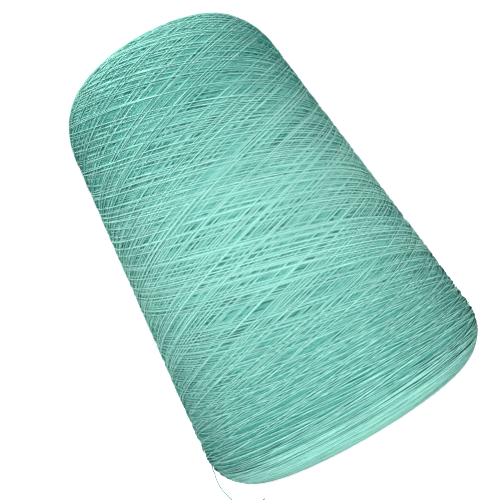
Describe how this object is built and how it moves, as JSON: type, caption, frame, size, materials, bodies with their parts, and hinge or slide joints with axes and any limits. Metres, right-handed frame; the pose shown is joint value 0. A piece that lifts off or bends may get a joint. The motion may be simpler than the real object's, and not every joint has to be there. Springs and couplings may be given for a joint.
{
  "type": "yarn cone",
  "caption": "Cone of cross-wound yarn on a tapered paper tube with a rolled nose and a loose end, for feeding knitting, winding and warping machines.",
  "frame": {"origin": "centre of the tube's wide rim, on the plane the cone stands on", "axes": "+Z along the tube's axis from the wide rim to the nose; X and Y are free, because the cone is round"},
  "size_m": [0.1225, 0.1176, 0.17],
  "materials": {
    "tube_paper": "matte",
    "yarn_core": "matte",
    "yarn_wraps": "matte",
    "yarn_end": "matte"
  },
  "bodies": {
    "root": {"cone_tube": "tube_paper", "inner_winding": "yarn_core", "outer_winding": "yarn_wraps", "free_end": "yarn_end"}
  },
  "joints": []
}
